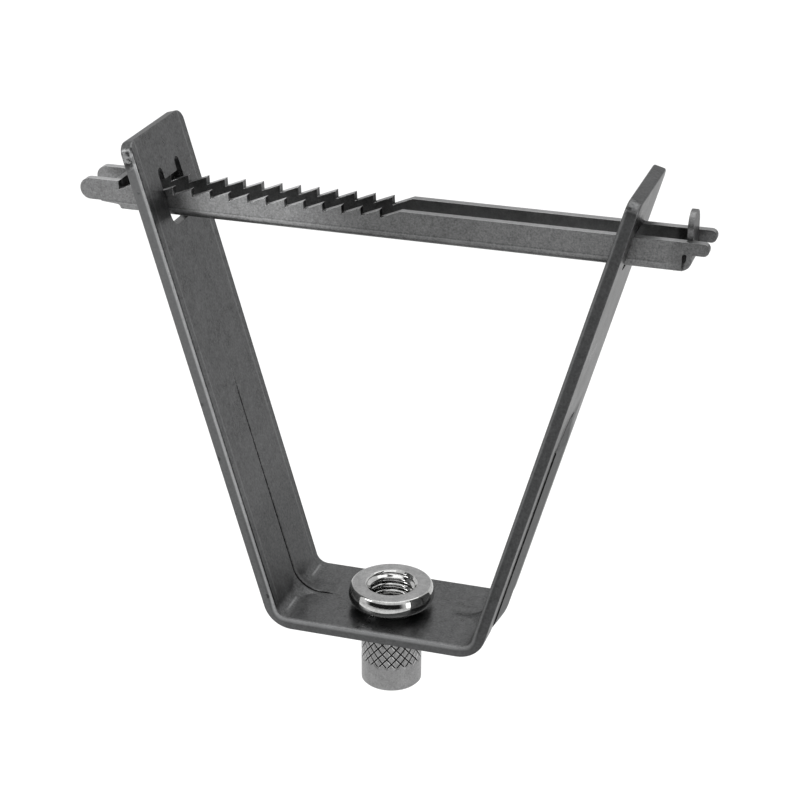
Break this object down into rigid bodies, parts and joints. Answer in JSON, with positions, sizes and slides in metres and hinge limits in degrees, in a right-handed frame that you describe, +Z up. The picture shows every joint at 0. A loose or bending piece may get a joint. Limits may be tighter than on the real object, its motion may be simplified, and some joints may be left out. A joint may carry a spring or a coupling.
{
  "type": "trapeze hanger",
  "caption": "Bent steel strip bracket with two splayed legs, a toothed locking bar through both legs and a flanged threaded nut for a hanging rod in its base.",
  "frame": {"origin": "on the nut's thread axis, at the top face of the bracket's base", "axes": "+X along the locking bar towards its upturned stop, +Z up the legs, -Y is the front"},
  "size_m": [0.1235, 0.025, 0.1142],
  "materials": {
    "bracket_steel": "satin zinc plated",
    "bar_steel": "satin zinc plated",
    "nut_steel": "bright zinc plated"
  },
  "bodies": {
    "bracket": {"bracket": "bracket_steel"},
    "locking_bar": {"locking_bar": "bar_steel"},
    "nut": {"knurled_nut": "nut_steel"}
  },
  "joints": [
    {"name": "bar_slide", "type": "slide", "parent": "bracket", "child": "locking_bar", "axis": [1, 0, 0], "range_m": [-0.0078, 0.1]},
    {"name": "nut_turn", "type": "hinge", "parent": "bracket", "child": "nut", "pos_m": [0, 0, 0], "axis": [0, 0, 1], "continuous": true}
  ]
}
